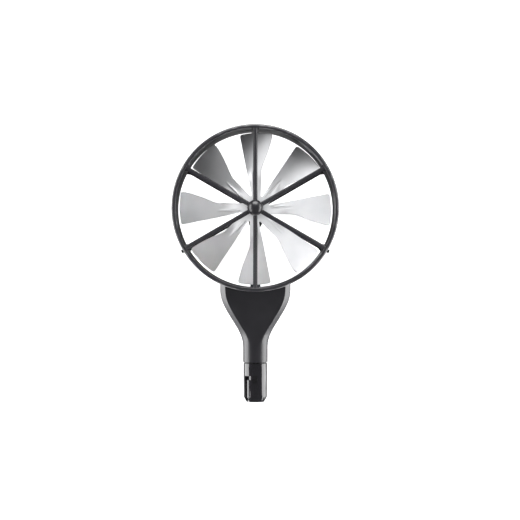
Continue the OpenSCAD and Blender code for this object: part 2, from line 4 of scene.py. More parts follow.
import bmesh
import bpy
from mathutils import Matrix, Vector

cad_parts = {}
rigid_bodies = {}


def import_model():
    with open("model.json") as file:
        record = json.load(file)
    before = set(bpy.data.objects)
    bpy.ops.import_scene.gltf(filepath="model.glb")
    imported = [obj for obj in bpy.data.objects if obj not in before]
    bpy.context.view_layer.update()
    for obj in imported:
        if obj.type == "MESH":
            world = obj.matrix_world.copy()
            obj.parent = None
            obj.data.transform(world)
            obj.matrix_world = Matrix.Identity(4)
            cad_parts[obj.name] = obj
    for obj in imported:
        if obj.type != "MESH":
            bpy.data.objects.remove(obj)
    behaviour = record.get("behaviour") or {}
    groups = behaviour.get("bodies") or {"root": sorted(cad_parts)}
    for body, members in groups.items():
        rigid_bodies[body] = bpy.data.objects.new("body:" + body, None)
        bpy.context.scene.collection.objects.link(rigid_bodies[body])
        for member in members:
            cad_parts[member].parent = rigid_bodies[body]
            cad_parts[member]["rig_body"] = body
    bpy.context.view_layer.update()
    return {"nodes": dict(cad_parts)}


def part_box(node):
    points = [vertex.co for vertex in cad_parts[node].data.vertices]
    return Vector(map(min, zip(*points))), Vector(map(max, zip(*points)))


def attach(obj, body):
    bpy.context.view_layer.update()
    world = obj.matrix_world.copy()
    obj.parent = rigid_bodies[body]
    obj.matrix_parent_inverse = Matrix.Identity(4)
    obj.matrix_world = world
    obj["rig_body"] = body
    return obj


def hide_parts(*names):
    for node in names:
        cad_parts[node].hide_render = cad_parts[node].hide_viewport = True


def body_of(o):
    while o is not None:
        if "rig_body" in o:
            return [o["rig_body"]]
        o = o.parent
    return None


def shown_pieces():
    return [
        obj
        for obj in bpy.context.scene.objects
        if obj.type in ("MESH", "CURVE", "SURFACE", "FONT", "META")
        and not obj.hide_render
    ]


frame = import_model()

mm = 0.001
touching = 0.01 * mm  # two places closer than this are the same
hubHeight = 98.3  # the impeller's axis over the spigot's upper edge, in mm

print("frame loaded:", len(frame["nodes"]), "nodes")


def deselectAll():
    for thing in bpy.context.selected_objects:
        thing.select_set(False)


def makeActive(piece):
    deselectAll()
    piece.select_set(True)
    bpy.context.view_layer.objects.active = piece


def newPiece(name, operator, **settings):
    deselectAll()
    operator(**settings)
    piece = bpy.context.object
    piece.name = name
    piece.data.name = name
    return piece


def bakePlace(piece):
    makeActive(piece)
    bpy.ops.object.transform_apply(location=True, rotation=True, scale=True)


# Opens the piece for editing, with nothing selected
def openEdit(piece, mode="VERT"):
    makeActive(piece)
    bpy.ops.object.mode_set(mode="EDIT")
    bpy.ops.mesh.select_mode(type=mode)
    bpy.ops.mesh.select_all(action="DESELECT")


def closeEdit():
    bpy.ops.object.mode_set(mode="OBJECT")


# Selects the open piece's vertices that pass a test of their place, or the edges whose both ends pass it
def pick(piece, test, kind="verts"):
    sheet = bmesh.from_edit_mesh(piece.data)
    for item in [*sheet.faces, *sheet.edges, *sheet.verts]:
        item.select = False
    for item in getattr(sheet, kind):
        ends = [item] if kind == "verts" else item.verts
        if all(test(end.co) for end in ends):
            item.select_set(True)
    bmesh.update_edit_mesh(piece.data)


def useModifier(piece, kind, **settings):
    makeActive(piece)
    modifier = piece.modifiers.new(kind.title(), kind)
    for name, value in settings.items():
        setattr(modifier, name, value)
    bpy.ops.object.modifier_apply(modifier=modifier.name)


def smoothSurface(piece, angle=32):
    makeActive(piece)
    bpy.ops.object.shade_smooth_by_angle(angle=math.radians(angle))


def linearColour(hexValue):
    channels = [int(hexValue[i:i + 2], 16) / 255 for i in (1, 3, 5)]
    return tuple(c / 12.92 if c <= 0.04045 else ((c + 0.055) / 1.055) ** 2.4 for c in channels) + (1.0,)


# Adds a node with its properties, its ramp's colours and its inputs; (node, output) makes a link
def addNode(tree, kind, inputs=None, stops=None, **properties):
    node = tree.nodes.new(kind)
    for name, value in properties.items():
        setattr(node, name, value)
    for element, (position, colour) in zip(node.color_ramp.elements if stops else [], stops or []):
        element.position = position
        element.color = linearColour(colour)
    for name, value in (inputs or {}).items():
        if isinstance(value, tuple) and isinstance(value[0], bpy.types.Node):
            tree.links.new(value[0].outputs[value[1]], node.inputs[name])
        else:
            node.inputs[name].default_value = value
    return node


def newMaterial(name):
    material = bpy.data.materials.new(name)
    material.use_nodes = True
    tree = material.node_tree
    tree.nodes.clear()
    return material, tree


# Moulded plastic: the mould's fine grain as bumps, and a soft mottle in tone and gloss.
# The grain of a real mould is about 0.1 mm; it is drawn as coarse as it shows.
def mouldedPlastic(name, look):
    material, tree = newMaterial(name)
    place = addNode(tree, "ShaderNodeTexCoord")
    grain = addNode(tree, "ShaderNodeTexNoise", {
        "Vector": (place, "Object"), "Scale": 1000 / look["grainMm"], "Detail": 3.0})
    mottle = addNode(tree, "ShaderNodeTexNoise", {
        "Vector": (place, "Object"), "Scale": 1000 / look["mottleMm"], "Detail": 2.0})
    tone = addNode(tree, "ShaderNodeValToRGB", {"Fac": (mottle, "Fac")},
                   stops=[(0.3, look["dark"]), (0.7, look["light"])])
    gloss = addNode(tree, "ShaderNodeMapRange", {"Value": (mottle, "Fac"), "From Min": 0.3, "From Max": 0.7,
                                                 "To Min": look["roughness"] - look["spread"],
                                                 "To Max": look["roughness"] + look["spread"]})
    bump = addNode(tree, "ShaderNodeBump", {
        "Height": (grain, "Fac"), "Strength": look["bump"], "Distance": 0.1 * mm})
    shader = addNode(tree, "ShaderNodeBsdfPrincipled", {
        "Base Color": (tone, "Color"), "Roughness": (gloss, "Result"), "Normal": (bump, "Normal"),
        "IOR": look["ior"], "Specular IOR Level": look["specular"]})
    addNode(tree, "ShaderNodeOutputMaterial", {"Surface": (shader, "BSDF")})
    return material


# Metal: the lines of its tool as bumps and gloss, longest where the stretch is least, and a soft cloud in tone
def workedMetal(name, look):
    material, tree = newMaterial(name)
    place = addNode(tree, "ShaderNodeTexCoord")
    stretch = addNode(tree, "ShaderNodeMapping", {"Vector": (place, "Object"), "Scale": look["stretch"]})
    lines = addNode(tree, "ShaderNodeTexNoise", {
        "Vector": (stretch, "Vector"), "Scale": 1000 / look["lineMm"], "Detail": 4.0})
    cloud = addNode(tree, "ShaderNodeTexNoise", {
        "Vector": (place, "Object"), "Scale": 1000 / look["cloudMm"], "Detail": 2.0})
    tone = addNode(tree, "ShaderNodeValToRGB", {"Fac": (cloud, "Fac")},
                   stops=[(0.3, look["dark"]), (0.7, look["light"])])
    gloss = addNode(tree, "ShaderNodeMapRange", {"Value": (lines, "Fac"), "From Min": 0.3, "From Max": 0.7,
                                                 "To Min": look["roughness"] - look["spread"],
                                                 "To Max": look["roughness"] + look["spread"]})
    bump = addNode(tree, "ShaderNodeBump", {
        "Height": (lines, "Fac"), "Strength": look["bump"], "Distance": 0.05 * mm})
    shader = addNode(tree, "ShaderNodeBsdfPrincipled", {
        "Base Color": (tone, "Color"), "Metallic": 1.0, "Roughness": (gloss, "Result"),
        "Normal": (bump, "Normal")})
    addNode(tree, "ShaderNodeOutputMaterial", {"Surface": (shader, "BSDF")})
    return material


# ABS moulded in a spark-eroded tool: satin, near black with a cool violet cast
guardAbs = mouldedPlastic("ABS moulded satin", {
    "dark": "#1c1b20", "light": "#232227", "roughness": 0.36, "spread": 0.03, "grainMm": 0.4, "mottleMm": 7,
    "bump": 0.12, "ior": 1.53, "specular": 0.6})
# the neck's ABS: from the same kind of tool, drawn darker than the guards' as painted shade, so that its front
# panel stays dark
neckAbs = mouldedPlastic("ABS moulded satin, painted shade", {
    "dark": "#17161b", "light": "#1d1c21", "roughness": 0.36, "spread": 0.02, "grainMm": 0.45, "mottleMm": 9,
    "bump": 0.12, "ior": 1.53, "specular": 0.5})
# the duct's ABS: its bore is smooth for the air, and darker than the guards
ductAbs = mouldedPlastic("ABS moulded smooth", {
    "dark": "#0f0e12", "light": "#141317", "roughness": 0.32, "spread": 0.03, "grainMm": 0.45, "mottleMm": 9,
    "bump": 0.12, "ior": 1.53, "specular": 0.5})
# ABS moulded in a polished tool, and a little dulled by fingers
polishedAbs = mouldedPlastic("ABS moulded polished", {
    "dark": "#161519", "light": "#1c1b1f", "roughness": 0.33, "spread": 0.02, "grainMm": 0.8, "mottleMm": 5,
    "bump": 0.04, "ior": 1.53, "specular": 0.6})
# glass-filled nylon moulded in a polished tool: black and glossy, with faint flow clouds
polishedNylon = mouldedPlastic("nylon glass-filled polished", {
    "dark": "#0d0c10", "light": "#131217", "roughness": 0.13, "spread": 0.02, "grainMm": 0.9, "mottleMm": 6,
    "bump": 0.03, "ior": 1.53, "specular": 0.6})
# black PBT, moulded satin: the pickup's pod
satinPbt = mouldedPlastic("PBT moulded satin", {
    "dark": "#17161a", "light": "#1e1d21", "roughness": 0.4, "spread": 0.03, "grainMm": 0.4, "mottleMm": 4,
    "bump": 0.12, "ior": 1.55, "specular": 0.5})
# black PBT, moulded matt: the block that holds the contacts; its colour is drawn darker than the pod's PBT as
# painted shade where it shows at the floor of the bayonet slot
shadedMattPbt = mouldedPlastic("PBT moulded matt, painted shade", {
    "dark": "#0b0b0d", "light": "#101012", "roughness": 0.6, "spread": 0.04, "grainMm": 0.3, "mottleMm": 4,
    "bump": 0.15, "ior": 1.55, "specular": 0.2})
# natural nylon: milky, unpigmented
naturalNylon = mouldedPlastic("nylon natural moulded", {
    "dark": "#cfc8b4", "light": "#ddd7c6", "roughness": 0.4, "spread": 0.04, "grainMm": 0.4, "mottleMm": 3,
    "bump": 0.08, "ior": 1.53, "specular": 0.5})
# sintered ferrite: dull dark grey ceramic with a gritty face
sinteredFerrite = mouldedPlastic("ferrite sintered", {
    "dark": "#3b3b3f", "light": "#4a4a4e", "roughness": 0.6, "spread": 0.06, "grainMm": 0.2, "mottleMm": 1.5,
    "bump": 0.3, "ior": 1.8, "specular": 0.5})
# PVC insulation, extruded: soft sheen
extrudedPvc = mouldedPlastic("PVC extruded grey", {
    "dark": "#2b2b30", "light": "#35353a", "roughness": 0.45, "spread": 0.04, "grainMm": 0.5, "mottleMm": 4,
    "bump": 0.06, "ior": 1.54, "specular": 0.5})
redPvc = mouldedPlastic("PVC extruded red", {
    "dark": "#8f2018", "light": "#a82a20", "roughness": 0.38, "spread": 0.04, "grainMm": 0.5, "mottleMm": 4,
    "bump": 0.05, "ior": 1.54, "specular": 0.5})
# glass epoxy with solder resist: the weave telegraphs through as a faint mottle
boardLaminate = mouldedPlastic("glass epoxy solder resist", {
    "dark": "#16452a", "light": "#1d5834", "roughness": 0.32, "spread": 0.04, "grainMm": 0.5, "mottleMm": 2,
    "bump": 0.1, "ior": 1.55, "specular": 0.5})
# transfer-moulded epoxy chip bodies: matt black
chipEpoxy = mouldedPlastic("epoxy transfer moulded", {
    "dark": "#141416", "light": "#1b1b1e", "roughness": 0.55, "spread": 0.04, "grainMm": 0.2, "mottleMm": 1.5,
    "bump": 0.2, "ior": 1.55, "specular": 0.5})
# nitrile rubber, moulded: the dullest black on the head
nitrileRubber = mouldedPlastic("nitrile rubber moulded", {
    "dark": "#08080a", "light": "#0d0d0f", "roughness": 0.6, "spread": 0.05, "grainMm": 0.3, "mottleMm": 3,
    "bump": 0.1, "ior": 1.52, "specular": 0.3})

# hard aluminium sheet, rolled and then satin finished: an even fine grain
satinAluminium = workedMetal("aluminium sheet satin", {
    "dark": "#dfe0e2", "light": "#e9e9eb", "roughness": 0.33, "spread": 0.02, "lineMm": 0.5,
    "stretch": (1, 1, 1), "cloudMm": 14, "bump": 0.04})
# turned aluminium: fine rings from the lathe
turnedAluminium = workedMetal("aluminium turned", {
    "dark": "#b6b8bc", "light": "#c8cace", "roughness": 0.3, "spread": 0.05, "lineMm": 0.25,
    "stretch": (0.2, 1, 0.2), "cloudMm": 4, "bump": 0.1})
# turned brass bush: warm, a little dulled
turnedBrass = workedMetal("brass turned", {
    "dark": "#a9813f", "light": "#bd9450", "roughness": 0.3, "spread": 0.05, "lineMm": 0.25,
    "stretch": (0.2, 1, 0.2), "cloudMm": 3, "bump": 0.1})
# ground steel shaft: bright, with grinding lines round it
groundSteel = workedMetal("steel ground", {
    "dark": "#a3a6aa", "light": "#b5b8bb", "roughness": 0.22, "spread": 0.04, "lineMm": 0.2,
    "stretch": (0.2, 1, 0.2), "cloudMm": 3, "bump": 0.08})
# screws with a black zinc finish: dark, half dull
blackZinc = workedMetal("steel black zinc plated", {
    "dark": "#3f3f43", "light": "#545459", "roughness": 0.38, "spread": 0.06, "lineMm": 0.3,
    "stretch": (1, 1, 1), "cloudMm": 1.5, "bump": 0.12})
# enamelled winding wire: turns of copper show as fine ridges round the coil
enamelCopper = workedMetal("copper wire enamelled", {
    "dark": "#9c4f22", "light": "#b96430", "roughness": 0.3, "spread": 0.06, "lineMm": 0.3,
    "stretch": (0.1, 1, 0.1), "cloudMm": 2, "bump": 0.3})
# gold flashed contacts
flashedGold = workedMetal("brass gold flashed", {
    "dark": "#c79c45", "light": "#d8b05a", "roughness": 0.22, "spread": 0.04, "lineMm": 0.3,
    "stretch": (1, 1, 0.3), "cloudMm": 1, "bump": 0.05})


# Synthetic ruby ring jewels, polished: clear deep red
def polishedRuby():
    material, tree = newMaterial("ruby synthetic polished")
    place = addNode(tree, "ShaderNodeTexCoord")
    veil = addNode(tree, "ShaderNodeTexNoise", {"Vector": (place, "Object"), "Scale": 1200.0})
    tone = addNode(tree, "ShaderNodeValToRGB", {"Fac": (veil, "Fac")},
                   stops=[(0.3, "#a01238"), (0.7, "#c01c48")])
    shader = addNode(tree, "ShaderNodeBsdfPrincipled", {
        "Base Color": (tone, "Color"), "Roughness": 0.06, "IOR": 1.77, "Transmission Weight": 0.6})
    addNode(tree, "ShaderNodeOutputMaterial", {"Surface": (shader, "BSDF")})
    return material


rubyJewel = polishedRuby()

nodeFinish = {
    "duct_ring": ductAbs, "front_guard": guardAbs, "rear_guard": guardAbs, "lead_cover": guardAbs,
    "front_cap": polishedAbs, "rear_cap": polishedAbs,
    "front_bearing_bush": turnedBrass, "rear_bearing_bush": turnedBrass,
    "front_jewel": rubyJewel, "rear_jewel": rubyJewel,
    "impeller_vanes": satinAluminium, "impeller_hub": turnedAluminium, "hub_collar": turnedAluminium,
    "impeller_shaft": groundSteel,
    "pickup_housing": satinPbt, "pickup_bobbin": naturalNylon, "pickup_core": sinteredFerrite,
    "pickup_winding": enamelCopper, "pickup_lead": extrudedPvc,
    "neck_front_shell": neckAbs, "neck_rear_shell": neckAbs, "housing_screws": blackZinc,
    "circuit_board": boardLaminate, "board_chips": chipEpoxy, "connector_leads": redPvc,
    "bayonet_sleeve": polishedNylon, "seal_ring": nitrileRubber, "connector_insert": shadedMattPbt,
    "contact_sockets": flashedGold,
}


def dress(piece, material):
    piece.data.materials.clear()
    piece.data.materials.append(material)


for nodeName, material in nodeFinish.items():
    dress(frame["nodes"][nodeName], material)
print("materials on", len(nodeFinish), "nodes")


# Sharp moulded and turned edges are broken by a small round, in mm
easedEdges = {
    "duct_ring": 0.2, "front_guard": 0.22, "rear_guard": 0.22, "pickup_housing": 0.3,
    "bayonet_sleeve": 0.18, "seal_ring": 0.15, "front_cap": 0.1, "rear_cap": 0.15,
    "hub_collar": 0.15, "lead_cover": 0.1, "housing_screws": 0.1, "connector_insert": 0.12,
}
easedNames = {
    "duct_ring": "ductBody", "front_guard": "frontGuardMoulding", "rear_guard": "rearGuardMoulding",
    "pickup_housing": "pickupPod", "bayonet_sleeve": "spigotSleeve", "seal_ring": "spigotSeal",
    "front_cap": "frontBall", "rear_cap": "rearDome", "hub_collar": "discClampRing",
    "lead_cover": "leadChannelCover", "housing_screws": "rearScrews", "connector_insert": "contactBlock",
}


def easeNode(nodeName, roundMm):
    source = frame["nodes"][nodeName]
    piece = bpy.data.objects.new(easedNames[nodeName], source.data.copy())
    bpy.context.scene.collection.objects.link(piece)
    openEdit(piece)
    bpy.ops.mesh.select_all(action="SELECT")
    bpy.ops.mesh.remove_doubles(threshold=1e-6)
    bpy.ops.mesh.dissolve_limited(angle_limit=math.radians(0.5))
    closeEdit()
    useModifier(piece, "BEVEL", width=roundMm * mm, segments=2, limit_method="ANGLE",
                angle_limit=math.radians(36), use_clamp_overlap=True)
    smoothSurface(piece, 34)
    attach(piece, body_of(source)[0])
    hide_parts(nodeName)


for nodeName, roundMm in easedEdges.items():
    easeNode(nodeName, roundMm)
print("eased", len(easedEdges), "hard parts")


# One stamped sheet: a bored disc that runs out into eight vanes, in mm
vaneSheet = {
    "vanes": 8, "bore": 2.05, "discRows": (5.0, 8.6), "thickness": 0.5, "tip": 48.35,
    "vaneRows": (9.9, 11.6, 13.4, 17.5, 22.0, 24.2, 26.5, 30.0, 34.0, 38.0, 42.0, 45.6, 48.35),
    "leadNeck": 3.6, "leadTip": 11.0, "trailNeck": 2.5, "trailTip": 10.0,
    "neckEnd": 25.0, "discEdge": 9.5, "pitch": 30.0,
    "ribRows": (11.0, 23.0), "ribColumns": (0.4, 0.84, 1.16, 1.6), "ribEnd": 2.0, "ribHeight": 0.5,
    "edgeRound": 0.1,
}


def smoothStep(value):
    held = min(1.0, max(0.0, value))
    return held * held * (3 - 2 * held)


# How far each of the ten columns lies from the vane's centre line at a radius
def columnPlaces(radius):
    form = vaneSheet
    flare = max(0.0, (radius - form["neckEnd"]) / (form["tip"] - form["neckEnd"]))
    bow = (flare + math.sin(math.pi / 2 * flare)) / 2
    lead = form["leadNeck"] + (form["leadTip"] - form["leadNeck"]) * bow
    trail = form["trailNeck"] + (form["trailTip"] - form["trailNeck"]) * (
        (radius - form["discEdge"]) / (form["tip"] - form["discEdge"]))
    beyond = trail - form["ribEnd"]
    return [-lead, -0.78 * lead, -0.4 * lead, *form["ribColumns"],
            form["ribEnd"] + 0.4 * beyond, form["ribEnd"] + 0.76 * beyond, trail]


# How far each column stands forward of the disc's plane at a radius
def columnHeights(radius):
    form = vaneSheet
    twist = smoothStep((radius - form["discEdge"]) / (form["neckEnd"] + 3 - form["discEdge"]))
    slope = math.tan(math.radians(form["pitch"] * twist))
    heights = [-place * slope for place in columnPlaces(radius)]
    # the pressed rib lifts the two columns in its middle
    if form["ribRows"][0] < radius < form["ribRows"][1]:
        for column in (4, 5):
            heights[column] += form["ribHeight"]
    return heights


def atRadius(vert, radius):
    return abs(math.hypot(vert.co.x, vert.co.y) - radius * mm) < 2 * touching


# The shortest turn from one angle to another, where the sheet repeats once a sector
def turnWithin(sector, angle):
    return (angle + sector / 2) % sector - sector / 2


# Turns and lifts each column of the row at a radius, on all the vanes at once
def placeVaneRow(sheet, radius, angles, heights, newAngles, newHeights):
    sector = 2 * math.pi / vaneSheet["vanes"]
    mesh = bmesh.from_edit_mesh(sheet.data)
    groups = [[] for _ in angles]
    for vert in mesh.verts:
        if atRadius(vert, radius):
            place = math.atan2(vert.co.y, vert.co.x)
            gaps = [abs(turnWithin(sector, place - angle)) for angle in angles]
            groups[gaps.index(min(gaps))].append(vert.index)
    for column, members in enumerate(groups):
        chosen = set(members)
        for vert in mesh.verts:
            vert.select = vert.index in chosen
        mesh.select_flush_mode()
        bmesh.update_edit_mesh(sheet.data)
        bpy.ops.transform.rotate(value=angles[column] - newAngles[column], orient_axis="Z",
                                 center_override=(0, 0, 0))
        bpy.ops.transform.translate(value=(0, 0, (newHeights[column] - heights[column]) * mm))


# Selects the row's edges at a radius; past the disc, not those that would bridge the gaps between vanes
def pickVaneRow(sheet, radius, onVane, gapMiddle):
    sector = 2 * math.pi / vaneSheet["vanes"]
    mesh = bmesh.from_edit_mesh(sheet.data)
    for item in [*mesh.edges, *mesh.verts]:
        item.select = False
    for edge in mesh.edges:
        middle = (edge.verts[0].co + edge.verts[1].co) / 2
        bridge = abs(turnWithin(sector, math.atan2(middle.y, middle.x) - gapMiddle)) < 0.02
        if all(atRadius(vert, radius) for vert in edge.verts) and not (onVane and bridge):
            edge.select_set(True)
    bmesh.update_edit_mesh(sheet.data)


def makeVaneSheet():
    form = vaneSheet
    discEnd = form["discRows"][-1]
    rootAngles = [place / discEnd for place in columnPlaces(discEnd)]
    columns = len(rootAngles)
    sector = 2 * math.pi / form["vanes"]
    evenAngles = [sector * (column - (columns - 1) / 2) / columns for column in range(columns)]
    flat = [0.0] * columns
    sheet = newPiece("stampedVaneSheet", bpy.ops.mesh.primitive_circle_add,
                     vertices=form["vanes"] * columns, radius=form["bore"] * mm, fill_type="NOTHING")
    openEdit(sheet)
    bpy.ops.mesh.select_all(action="SELECT")
    bpy.ops.transform.rotate(value=-(evenAngles[0] % (sector / columns)), orient_axis="Z",
                             center_override=(0, 0, 0))
    placeVaneRow(sheet, form["bore"], evenAngles, flat, rootAngles, flat)

    radius, angles, heights = form["bore"], rootAngles, flat
    gapMiddle = (rootAngles[-1] + rootAngles[0] + sector) / 2
    for rowRadius in form["discRows"] + form["vaneRows"]:
        onVane = rowRadius > discEnd
        pickVaneRow(sheet, radius, onVane, gapMiddle)
        bpy.ops.mesh.extrude_edges_move()
        grow = rowRadius / radius
        bpy.ops.transform.resize(value=(grow, grow, 1), center_override=(0, 0, 0))
        if onVane:
            newAngles = [place / rowRadius for place in columnPlaces(rowRadius)]
            newHeights = columnHeights(rowRadius)
            placeVaneRow(sheet, rowRadius, angles, heights, newAngles, newHeights)
            angles, heights = newAngles, newHeights
        radius = rowRadius
    bpy.ops.mesh.select_all(action="SELECT")
    bpy.ops.mesh.normals_make_consistent(inside=False)
    closeEdit()
    useModifier(sheet, "SUBSURF", levels=2, render_levels=2)
    useModifier(sheet, "SOLIDIFY", thickness=form["thickness"] * mm, offset=0)
    useModifier(sheet, "BEVEL", width=form["edgeRound"] * mm, segments=2, limit_method="ANGLE",
                angle_limit=math.radians(60))
    sheet.rotation_euler = (math.radians(90), 0, 0)
    sheet.location = (0, 0, hubHeight * mm)
    bakePlace(sheet)
    smoothSurface(sheet, 40)
    dress(sheet, satinAluminium)
    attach(sheet, "impeller")
    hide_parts("impeller_vanes")


makeVaneSheet()
print("impeller sheet made")


# The flared neck: a round stem that widens into a bevelled head, in mm
neckForm = {
    "stem": 7.8, "topWidth": 22.3, "topDepth": 13.0, "flareStart": 11.0, "flareEnd": 45.8, "creaseEnd": 24.0,
    "rows": (1.4, 5, 9, 11.5, 14, 16.5, 19, 22, 25, 29, 33, 37, 41, 45, 49),
    "bevelWide": 3.2, "bevelDeep": 5.0, "low": 0.8, "high": 53.8, "points": 24, "ringRadius": 52.55,
    "wall": 3.0, "cavityLow": 16.0, "edgeCrease": 0.86, "edgeRound": 0.16,
    "roundLoss": 0.0115,  # the share that subdivision draws a round row in by
}


# Selects the vertices whose shares of their row's width and depth pass a test
def pickShares(neck, shares, test):
    mesh = bmesh.from_edit_mesh(neck.data)
    for item in [*mesh.faces, *mesh.edges, *mesh.verts]:
        item.select = False
    for vert in mesh.verts:
        if vert.index in shares and test(*shares[vert.index], vert.co):
            vert.select_set(True)
    bmesh.update_edit_mesh(neck.data)


# The scale that takes a length the given part of the way to its target
def partWay(part, target, length):
    return 1 + part * (target / length - 1)


def creaseLayerOf(mesh):
    return mesh.edges.layers.float.get("crease_edge") or mesh.edges.layers.float.new("crease_edge")


# Turns the round row at one height into the bevelled outline there, as far as the neck has creased
def shapeNeckRow(neck, z, inset):
    form = neckForm
    level = z * mm
    centre = (0, 0, level)
    rise = smoothStep((z - form["flareStart"]) / (form["flareEnd"] - form["flareStart"]))
    crease = smoothStep((z - form["flareStart"]) / (form["creaseEnd"] - form["flareStart"]))
    width = form["stem"] + (form["topWidth"] - form["stem"]) * rise - inset
    depth = form["stem"] + (form["topDepth"] - form["stem"]) * rise - inset
    spread = 1 + form["roundLoss"] * (1 - crease)
    pick(neck, lambda co: abs(co.z - level) < touching)
    bpy.ops.transform.resize(value=(width / form["stem"] * spread, depth / form["stem"] * spread, 1),
                             center_override=centre)
    if crease == 0:
        return
    wide, deep = width * mm * spread, depth * mm * spread
    shares = {vert.index: (abs(vert.co.x) / wide, abs(vert.co.y) / deep)
              for vert in bmesh.from_edit_mesh(neck.data).verts if abs(vert.co.z - level) < touching}
    # front and rear panels
    pickShares(neck, shares, lambda a, b, co: b > 0.8)
    bpy.ops.transform.resize(value=(partWay(crease, width - form["bevelWide"], 0.5 * width), 1, 1),
                             center_override=centre)
    for side in (-1, 1):
        pickShares(neck, shares, lambda a, b, co: b > 0.8 and co.y * side > 0)
        bpy.ops.transform.resize(value=(1, 1 - crease, 1), center_override=(0, side * depth * mm, level))
    # sides
    pickShares(neck, shares, lambda a, b, co: a > 0.8)
    bpy.ops.transform.resize(value=(1, partWay(crease, depth - form["bevelDeep"], 0.5 * depth), 1),
                             center_override=centre)
    for side in (-1, 1):
        pickShares(neck, shares, lambda a, b, co: a > 0.8 and co.x * side > 0)
        bpy.ops.transform.resize(value=(1 - crease, 1, 1), center_override=(side * width * mm, 0, level))
    # the middle of each bevel
    pickShares(neck, shares, lambda a, b, co: a < 0.8 and b < 0.8)
    bpy.ops.transform.resize(value=(partWay(crease, width - form["bevelWide"] / 2, 0.7071 * width),
                                    partWay(crease, depth - form["bevelDeep"] / 2, 0.7071 * depth), 1),
                             center_override=centre)
    # the edges that bound the bevels sharpen upwards
    mesh = bmesh.from_edit_mesh(neck.data)
    creaseLayer = creaseLayerOf(mesh)
    for edge in mesh.edges:
        lower, upper = sorted(edge.verts, key=lambda vert: vert.co.z)
        if upper.index not in shares or upper.co.z - lower.co.z < touching:
            continue
        a, b = shares[upper.index]
        if abs(a - 0.5) < 0.05 or abs(b - 0.5) < 0.05:
            edge[creaseLayer] = form["edgeCrease"] * crease
    bmesh.update_edit_mesh(neck.data)


# A closed neck-shaped solid, drawn in all round by an inset
def makeNeckSolid(name, inset, low, high):
    form = neckForm
    rowHeights = [low] + [z for z in form["rows"] if z > low + 0.5] + [high]
    neck = newPiece(name, bpy.ops.mesh.primitive_circle_add, vertices=form["points"],
                    radius=form["stem"] * mm, fill_type="NGON", location=(0, 0, low * mm))
    bakePlace(neck)
    openEdit(neck, "FACE")
    bpy.ops.mesh.select_all(action="SELECT")
    for lower, upper in zip(rowHeights, rowHeights[1:]):
        bpy.ops.mesh.extrude_region_move(TRANSFORM_OT_translate={"value": (0, 0, (upper - lower) * mm)})
    bpy.ops.mesh.select_mode(type="VERT")
    for z in rowHeights:
        shapeNeckRow(neck, z, inset)
    # both ends stay sharp
    mesh = bmesh.from_edit_mesh(neck.data)
    creaseLayer = creaseLayerOf(mesh)
    for edge in mesh.edges:
        if all(min(abs(vert.co.z - low * mm), abs(vert.co.z - high * mm)) < touching for vert in edge.verts):
            edge[creaseLayer] = 1.0
    bmesh.update_edit_mesh(neck.data)
    bpy.ops.mesh.select_all(action="SELECT")
    bpy.ops.mesh.normals_make_consistent(inside=False)
    closeEdit()
    useModifier(neck, "SUBSURF", levels=2, render_levels=2)
    return neck


def makeCutter(radius, start, end, points=96):
    start, end = Vector(start) * mm, Vector(end) * mm
    cutter = newPiece("cutter", bpy.ops.mesh.primitive_cylinder_add, vertices=points, radius=radius * mm,
                      depth=(end - start).length, location=(start + end) / 2,
                      rotation=(end - start).to_track_quat("Z", "Y").to_euler())
    bakePlace(cutter)
    return cutter


def combine(piece, other, operation):
    useModifier(piece, "BOOLEAN", operation=operation, object=other, solver="EXACT")
    bpy.data.objects.remove(other)


# Bores up the stem, each as radius, start and end, in mm
stemBores = ((5.86, -1, 10.05), (6.67, 4.9, 7.1), (4.4, 5, 17))

# The screws that hold the shells: each one's x, z and the depth of its head's seat, in mm
shellScrews = ((-13.0, 40.6, 7.0), (13.0, 40.6, 7.0), (0, 19.5, 6.4))
screwFit = {"post": 2.8, "hole": 1.32, "headHole": 2.4, "pilot": 1.2, "pilotEnd": 5.8, "upperStart": 3.05,
            "upperFrontEnd": 7.2, "lowerFrontEnd": 6.2, "points": 48}


# One screw's posts and holes: a clear hole and a counterbore at the rear, a pilot hole in front.
# Each hole's cutter runs past the faces that it opens.
def addScrewPosts(front, rear, x, z, seat):
    fit = screwFit
    start = fit["upperStart"] if x else 0.0  # the lower screw stands in the solid stem
    frontEnd = fit["upperFrontEnd"] if x else fit["lowerFrontEnd"]
    for shell, radius, near, far, operation in (
            (rear, fit["post"], start, seat + 0.6, "UNION"),
            (rear, fit["hole"], -1, seat + 1, "DIFFERENCE"),
            (rear, fit["headHole"], seat, 20, "DIFFERENCE"),
            (front, fit["post"], -frontEnd, -start, "UNION"),
            (front, fit["pilot"], -fit["pilotEnd"], 1, "DIFFERENCE")):
        combine(shell, makeCutter(radius, (x, near, z), (x, far, z), fit["points"]), operation)


def makeNeckShells():
    form = neckForm
    front = makeNeckSolid("neckFrontHousing", 0.0, form["low"], form["high"])
    cavity = makeNeckSolid("neckCavity", form["wall"], form["cavityLow"], form["high"] + 2)
    combine(front, cavity, "DIFFERENCE")
    combine(front, makeCutter(form["ringRadius"], (0, -40, hubHeight), (0, 40, hubHeight), 256), "DIFFERENCE")
    for radius, start, end in stemBores:
        combine(front, makeCutter(radius, (0, 0, start), (0, 0, end)), "DIFFERENCE")
    rear = bpy.data.objects.new("neckRearHousing", front.data.copy())
    bpy.context.scene.collection.objects.link(rear)
    # each shell loses the other's half at the parting plane
    for shell, away in ((front, 1), (rear, -1)):
        block = newPiece("cutter", bpy.ops.mesh.primitive_cube_add, size=60 * mm,
                         location=(0, away * 30 * mm, 30 * mm))
        combine(shell, block, "DIFFERENCE")
    for x, z, seat in shellScrews:
        addScrewPosts(front, rear, x, z, seat)
    for shell, nodeName in ((front, "neck_front_shell"), (rear, "neck_rear_shell")):
        useModifier(shell, "BEVEL", width=form["edgeRound"] * mm, segments=2, limit_method="ANGLE",
                    angle_limit=math.radians(50), use_clamp_overlap=True)
        smoothSurface(shell, 34)
        dress(shell, neckAbs)
        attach(shell, "probe_head")
        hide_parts(nodeName)


